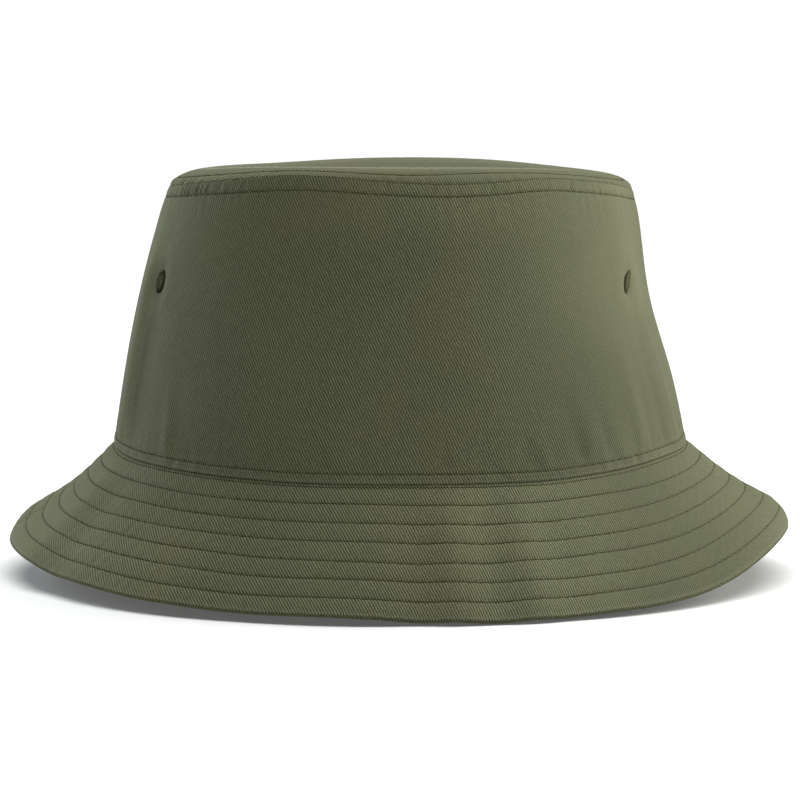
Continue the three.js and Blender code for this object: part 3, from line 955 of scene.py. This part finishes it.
def make_wall(half):
    columns = HALVES[half]
    outer = WALL.points[columns]
    inner = outer - WALL.normal[columns] * CLOTH
    bend = np.full(len(ARC[columns]), LEAN / WALL_LENGTH / (GIRTH / (2 * math.pi)))
    across = np.tile(WALL.steps * WALL_LENGTH, (len(bend), 1))
    turn = TURN_COLUMN[columns] + 0 * across
    uv = unrolled(ARC[columns], across, bend)
    fields = {
        "furrow_shade": furrow_shade_mask(WALL, 0.5)[columns],
        "wear_and_highlight": bell(across - 0.5 * MM, 0.7 * MM) * 0.22,
        "lamp_evened_twill": lamp_evened_share(turn),
        # Painted light and shade, place by place
        "pale": wall_painted_light_and_shade(turn, WALL.steps),
    }
    panel = shell(f"side_panel_{half}_cloth", outer, inner, uv, fields, keep=eyelet_keep(columns))
    finish_piece(panel, TWILL, "twill", f"side_panel_{half}")


def make_tip():
    outer = TIP.points[:-1]
    inner = outer - TIP.normal[:-1] * CLOTH
    gaps = np.linalg.norm(np.diff(outer, axis=1), axis=2)
    length = np.concatenate([gaps[:, ::-1].cumsum(1)[:, ::-1], np.zeros((len(outer), 1))], 1)
    plan = outer[..., :2] - outer[:, -1:, :2]
    reach = np.linalg.norm(plan, axis=2)
    uv = outer[..., :2] + plan * (length / np.maximum(reach, 1e-6) - 1)[..., None]
    t = np.tile(TIP.steps, (len(outer), 1))
    turn = TURN_COLUMN[:-1] + 0 * t
    fields = {
        "furrow_shade": furrow_shade_mask(TIP, 0.5)[:-1],
        # Painted highlight along the tip's rolled ridge, strongest at the front
        "wear_and_highlight": bell(t - 1.0, 0.15) * (0.15 + 1.2 * ramp(np.cos(np.radians(turn)), -0.3, 0.5)),
        # Twill evened as painted light, a little more towards the top of the roll
        "lamp_evened_twill": 0.3 + 0.1 * ramp(t, 0.3, 0.8),
        # Painted shade over the dish behind the ridge
        "pale": -0.2 * ramp(t, 1.03, 1.3),
    }
    tip = shell("crown_tip_cloth", outer, inner, uv, fields, wrapped=True, capped=True)
    finish_piece(tip, TWILL, "twill", "crown_tip")


# ---- Brim ----


def brim_bend(arc):
    """The curve that the brim is cut to, which eases on the left of each half."""
    middle = (arc[0] + arc[-1]) / 2
    radius = GIRTH / (2 * math.pi)
    share = 0.36 + 0.27 * ramp(arc - middle, -0.07, 0.02)
    return share / radius


def make_brim_top(half):
    columns = HALVES[half]
    outer = BRIM.points[columns]
    inner = outer - BRIM.normal[columns] * CLOTH
    arc = ARC[columns]
    across = np.tile(BRIM.steps, (len(arc), 1))
    turn = TURN_COLUMN[columns] + 0 * across
    uv = unrolled(arc, across, brim_bend(arc))
    fields = {
        # Less painted shade in the furrows on the right, where the key lamp fills them
        "furrow_shade": furrow_shade_mask(BRIM, 0.42)[columns] * (1 - 0.7 * lobe(turn, 78, 34)),
        "wear_and_highlight": bell(across + TOP_SLANT, 0.6 * MM) * 0.25,
        "lamp_evened_twill": lamp_evened_share(turn),
        # Painted light and shade, place by place
        "pale": brim_painted_light_and_shade(turn, -across / BRIM_SLANT),
    }
    top = shell(f"brim_top_{half}_cloth", outer, inner, uv, fields)
    finish_piece(top, TWILL, "twill", f"brim_top_{half}")


def rim_section():
    """The under layer, from the seam down the underside and round the turned rim, as (down, depth)."""
    above = np.array([-7, -5, -3, -1.5, -0.6]) * MM
    rows = np.concatenate([above, np.linspace(0, TOP_SLANT, 64)])
    angle = np.linspace(0, 1, 12)[1:] * math.pi * 0.98
    half = BRIM_DEPTH * 0.5
    below_top = 0.1 * MM
    down = np.concatenate([rows, TOP_SLANT + np.sin(angle) * RIM])
    depth = np.concatenate([np.full(len(rows), BRIM_DEPTH), half + (half - below_top) * np.cos(angle)])
    return down, depth


def make_brim_under(half):
    columns = HALVES[half]
    down, depth = rim_section()
    turn, below = grid(TURNS[columns], down)
    surface = brim_point(turn, below)
    normal = brim_normal(turn, below)
    relief = underside_furrows(turn, below)
    flat = ramp(below, BRIM_SLANT - 0.5 * MM, BRIM_SLANT - 2 * MM)
    lower = surface - normal * (depth + relief * flat)[..., None]
    inwards = surface - normal * BRIM_DEPTH / 2 - lower
    upper = lower + unit(inwards) * CLOTH
    arc = ARC[columns]
    run = running_sum(np.hypot(np.diff(down), np.diff(depth)))
    across = np.tile(-run, (len(arc), 1))
    uv = unrolled(arc, across, brim_bend(arc)) * np.array([-1, 1])
    fields = {
        "furrow_shade": np.clip(-relief / (0.36 * MM), 0, 1),
        "wear_and_highlight": bell(across + BRIM_SLANT, 1.0 * MM) * 0.3,
        "lamp_evened_twill": 0 * across,
        "pale": 0 * across,
    }
    under = shell(f"brim_under_{half}_cloth", lower, upper, uv, fields)
    finish_piece(under, TWILL_UNDER, "twill_under", f"brim_under_{half}")


def make_interlining(half):
    columns = HALVES[half]
    down = np.linspace(0.6 * MM, BRIM_SLANT - 4 * MM, 14)
    turn, below = grid(TURNS[columns][::6], down)
    surface = brim_point(turn, below)
    normal = brim_normal(turn, below)
    upper = surface - normal * 0.64 * MM
    lower = surface - normal * 0.86 * MM
    arc = ARC[columns][::6]
    uv = unrolled(arc, -below, brim_bend(arc))
    piece = shell(f"brim_interlining_{half}_cloth", lower, upper, uv, {})
    finish_piece(piece, INTERLINING_CLOTH, "interlining", f"brim_interlining_{half}")


# ---- Inside the crown ----


def inside_point(turn, up, depth):
    """A point inside the wall, so far up from the base seam and so far in from its face."""
    depth = np.broadcast_to(depth, np.shape(turn))[..., None]
    return wall_point(turn, up / WALL_LENGTH) - inward_normal(turn, up) * depth


def inward_normal(turn, up):
    step = 0.5
    here = wall_point(turn - step, up / WALL_LENGTH)
    there = wall_point(turn + step, up / WALL_LENGTH)
    rise = wall_point(turn, up / WALL_LENGTH + 0.01) - wall_point(turn, up / WALL_LENGTH - 0.01)
    return unit(np.cross(there - here, rise))


def strip_cut(turn, across):
    """Where the points of a straight strip lie in its flat cut."""
    return np.stack(np.broadcast_arrays(arc_at(turn), across), -1)


def make_sweatband():
    """A strip folded along its top edge, so that it is two plies, joined at the back."""
    foot = 0.6 * MM
    top = BAND_HIGH.z - BAND_LOW.z - 0.5 * MM
    ply = 0.42 * MM
    half_gap = 0.55 * MM  # between the two plies
    ply_rows = 22
    fold = np.linspace(0, math.pi, 9)[1:-1]
    outer_ply = np.linspace(foot, top, ply_rows)
    rise = np.concatenate([outer_ply, top + np.sin(fold) * half_gap, outer_ply[::-1]])
    inwards = [np.zeros(ply_rows), (1 - np.cos(fold)) * half_gap, np.full(ply_rows, 2 * half_gap)]
    depth = 5.2 * MM - np.concatenate(inwards)
    turn, up = grid(TURNS[:-1][::3], rise)
    inset = np.tile(depth, (len(turn), 1))
    loose = waves(turn, up / top, 71, 7, (5, 16), (-0.3, 0.3), 0.25) * MM * ramp(up, 4 * MM, top)
    inset = inset + loose + band_join(turn)
    outer = inside_point(turn, up, inset)
    side = inward_normal(turn, up)
    facing = np.where(np.arange(len(rise)) < len(rise) // 2, 1.0, -1.0)[None, :, None]
    inner = outer + side * ply * facing
    across = running_sum(np.hypot(np.diff(rise), np.diff(depth)))
    uv = strip_cut(turn, across[None] + 0 * turn)
    band = shell("sweatband_cloth", outer[:, ::-1], inner[:, ::-1], uv[:, ::-1], {}, wrapped=True)
    finish_piece(band, BAND_CLOTH, "sweatband", "sweatband")


def band_join(turn):
    """How far in the band stands at its own seam, at the back."""
    return lobes(turn, (0.5, 180, 1.6), (-0.25, 180, 0.5)) * MM


TAPE_DEPTH = 0.9 * MM  # in from the wall's face
TAPE_THICKNESS = 0.5 * MM


def tape(node, turns, low, high, wrapped):
    rows = 12
    turn, up = grid(turns, np.linspace(low, high, rows))
    crown = 0.35 * MM * np.sin(math.pi * np.linspace(0, 1, rows))[None]
    ripple = pucker(arc_at(turn), 81, 0.06 * MM)
    outer = inside_point(turn, up, TAPE_DEPTH + 0 * up)
    inner = inside_point(turn, up, TAPE_DEPTH + TAPE_THICKNESS + crown + ripple)
    uv = strip_cut(turn, up)
    piece = shell(f"{node}_cloth", outer, inner, uv, {}, wrapped=wrapped)
    finish_piece(piece, TAPE_CLOTH, "tape", node)


def make_tapes():
    low = WALL_LENGTH - 13 * MM
    half_turn = 3.6  # half of a side tape's width, in degrees
    tape("tip_seam_tape", TURNS[:-1][::3], low, WALL_LENGTH - 1.2 * MM, True)
    for side, centre in (("right", -90), ("left", 90)):
        turns = np.linspace(centre - half_turn, centre + half_turn, 24)
        tape(f"side_seam_tape_{side}", turns, BAND_HIGH.z - BASE_Z + 1 * MM, low - 1 * MM, False)


def make_label():
    """A blank folded satin label, caught under the band's stitching at the back."""
    turns = np.linspace(176, 184, 26)
    rise = np.linspace(8 * MM, 21 * MM, 20)
    turn, up = grid(turns, rise)
    curl = 0.5 * MM * ramp(abs(turn - 180), 2.5, 4) + 0.35 * MM * ramp(up, 18 * MM, 21 * MM)
    outer = inside_point(turn, up, 6.1 * MM + curl)
    inner = inside_point(turn, up, 6.5 * MM + curl)
    uv = strip_cut(turn, up)
    piece = shell("size_label_cloth", outer, inner, uv, {})
    finish_piece(piece, LABEL_CLOTH, "label", "size_label")


# ---- Eyelets ----


def make_eyelet(node, turn, slant=0.0, breadth=1.0, painted_thread_light=0.0):
    """A worked eyelet: satin stitches laid side by side round a hole.

    It leans by slant, and where a fold of the wall squeezes it, it has less breadth.
    """
    centre, normal = WALL.at(np.array(float(turn)), np.array(EYELET_SHARE))
    across = unit(np.cross(np.array([0, 0, 1.0]), normal))
    up = np.cross(normal, across) + slant * across
    across = breadth * across
    rng = np.random.default_rng(int(abs(turn)))
    angle = np.arange(EYELET_STITCHES) / EYELET_STITCHES * 2 * math.pi
    t = np.linspace(0, 1, 11)
    swing = math.pi * (0.02 + 1.42 * t)
    outer_r = (EYELET_OUTER + rng.normal(0, 0.30, EYELET_STITCHES))[:, None] * MM
    hole_r = (EYELET_HOLE + rng.normal(0, 0.35, EYELET_STITCHES))[:, None] * MM
    middle = (outer_r + hole_r) / 2
    reach = (outer_r - hole_r) / 2
    radius = middle + reach * np.cos(swing)
    height = (0.42 * MM) * np.sin(swing) - 0.12 * MM
    twist = angle[:, None] + 0.10 * t[None]
    cosine, sine = np.cos(twist)[..., None], np.sin(twist)[..., None]
    path = centre + radius[..., None] * (cosine * across + sine * up)
    path = path + (height + 0.25 * MM)[..., None] * normal
    around = -sine * across + cosine * up
    lift = unit(np.cross(around, np.gradient(path, axis=1)))
    thick = 0.27 * MM * np.sin(math.pi * np.clip(t, 0.12, 0.88)) ** 0.3
    piece = thread_tubes(node + "_embroidery", path, around, lift, thick, painted_thread_light)
    finish_piece(piece, EYELET_THREAD, "eyelet_thread", node)


# ---- Rows of stitching ----


def make_stitches():
    for number in range(BRIM_ROWS):
        def step_at(turn, number=number):
            return -row_down(number, turn)

        row = number + 1
        piece = stitch_row(f"brim_stitches_{row}", BRIM, step_at, 100 + number)
        finish_piece(piece, THREAD, "thread", f"brim_stitch_row_{row}")
        piece = stitch_row(f"brim_underside_stitches_{row}", BRIM_UNDERSIDE, step_at, 140 + number, -1)
        finish_piece(piece, THREAD, "thread")
    base = stitch_row("base_topstitches", WALL, lambda turn: BASE_TOPSTITCH / wall_span(turn), 120)
    finish_piece(base, THREAD, "thread", "base_topstitch")
    lower = stitch_row("tip_topstitches_lower", WALL, lambda turn: 1 - tip_gap(turn) / wall_span(turn),
                       121)
    finish_piece(lower, THREAD, "thread", "tip_topstitch_lower")
    upper = stitch_row("tip_topstitches_upper", TIP, tip_row, 122)
    finish_piece(upper, THREAD, "thread", "tip_topstitch_upper")


def wall_span(turn):
    return tip_height(turn) - base_height(turn)


# ---- Stage, lights and camera ----


def emission(name, colour, strength):
    material = bpy.data.materials.new(name)
    material.use_nodes = True
    surface = material.node_tree.nodes["Principled BSDF"]
    surface.inputs["Base Color"].default_value = (*colour, 1)
    surface.inputs["Roughness"].default_value = 0.9
    surface.inputs["Emission Color"].default_value = (*colour, 1)
    surface.inputs["Emission Strength"].default_value = strength
    return material


def round_sheet(name, profile, strength):
    """A pale surface made by turning a profile of (radius, height) about the hat's own axis."""
    sides = 96
    angle = (np.arange(sides) / sides * 2 * math.pi)[:, None]
    radius, height = np.array(profile).T
    x = np.cos(angle) * radius
    y = np.sin(angle) * radius
    points = np.stack([x, y, FLOOR_Z + height + 0 * angle], -1)
    sheet = make_mesh(name, points.reshape(-1, 3), [grid_faces(sides, len(profile), True)[:, ::-1]])
    sheet.data.materials.append(emission(name, (0.62, 0.62, 0.62), strength))


def make_stage():
    """A pale floor, and round it a backdrop that curves up."""
    reach = 6.0
    bend = 1.0  # the radius of the backdrop's curve
    round_sheet("pale_floor", [(0.0001, 0.0), (reach, 0.0)], 0.14)
    angles = np.linspace(0, math.pi / 2, 13)
    curve = [(reach + bend * math.sin(angle), bend * (1.0 - math.cos(angle))) for angle in angles]
    round_sheet("pale_backdrop", curve, 0.5)


def area_light(name, place, target, size, power, colour):
    light = bpy.data.lights.new(name, "AREA")
    light.shape = "RECTANGLE"
    light.size, light.size_y = size
    light.energy = power
    light.color = colour
    lamp = bpy.data.objects.new(name, light)
    bpy.context.scene.collection.objects.link(lamp)
    lamp.location = place
    away = np.array(place) - np.array(target)
    flat = math.hypot(away[0], away[1])
    lamp.rotation_euler = (math.atan2(flat, away[2]), 0, math.atan2(away[0], -away[1]))
    lamp.visible_camera = False


def make_lights():
    middle = (0, 0, 0.07)
    area_light("key_right", (1.35, 0.32, 0.40), middle, (0.8, 1.0), 24, (1.0, 0.985, 0.90))
    area_light("fill_left", (-1.12, 0.80, 0.40), middle, (0.8, 1.0), 11.5, (0.86, 0.96, 1.0))
    above = bpy.data.lights.new("soft_from_above", "SUN")
    above.energy = 4.6
    above.angle = math.radians(70)
    lamp = bpy.data.objects.new("soft_from_above", above)
    lamp.rotation_euler = (math.radians(-8), math.radians(6), 0)
    bpy.context.scene.collection.objects.link(lamp)
    world = bpy.data.worlds.new("studio")
    world.use_nodes = True
    background = world.node_tree.nodes["Background"]
    background.inputs["Color"].default_value = (1, 1, 1, 1)
    background.inputs["Strength"].default_value = 0.06
    bpy.context.scene.world = world


def make_camera():
    data = bpy.data.cameras.new("camera")
    data.lens = 172.5
    down = 5.3  # degrees
    camera = bpy.data.objects.new("camera", data)
    bpy.context.scene.collection.objects.link(camera)
    camera.location = (0.0004, -1.212, 0.1646)
    camera.rotation_euler = (math.radians(90 - down), 0, 0)
    bpy.context.scene.camera = camera


make_camera()
make_stage()
make_lights()
bpy.context.scene.view_settings.view_transform = "Standard"

for half_name in HALVES:
    make_wall(half_name)
    make_brim_top(half_name)
    make_brim_under(half_name)
    make_interlining(half_name)
make_tip()
make_sweatband()
make_tapes()
make_label()
make_eyelet("eyelet_right_front", EYELET_TURNS[0], 0.18, 1.1)
make_eyelet("eyelet_right_back", EYELET_TURNS[1])
# This eyelet faces the key lamp, so its thread is given painted light
make_eyelet("eyelet_left_front", EYELET_TURNS[2], 0.9, 0.6, 0.2)
make_eyelet("eyelet_left_back", EYELET_TURNS[3])
make_stitches()
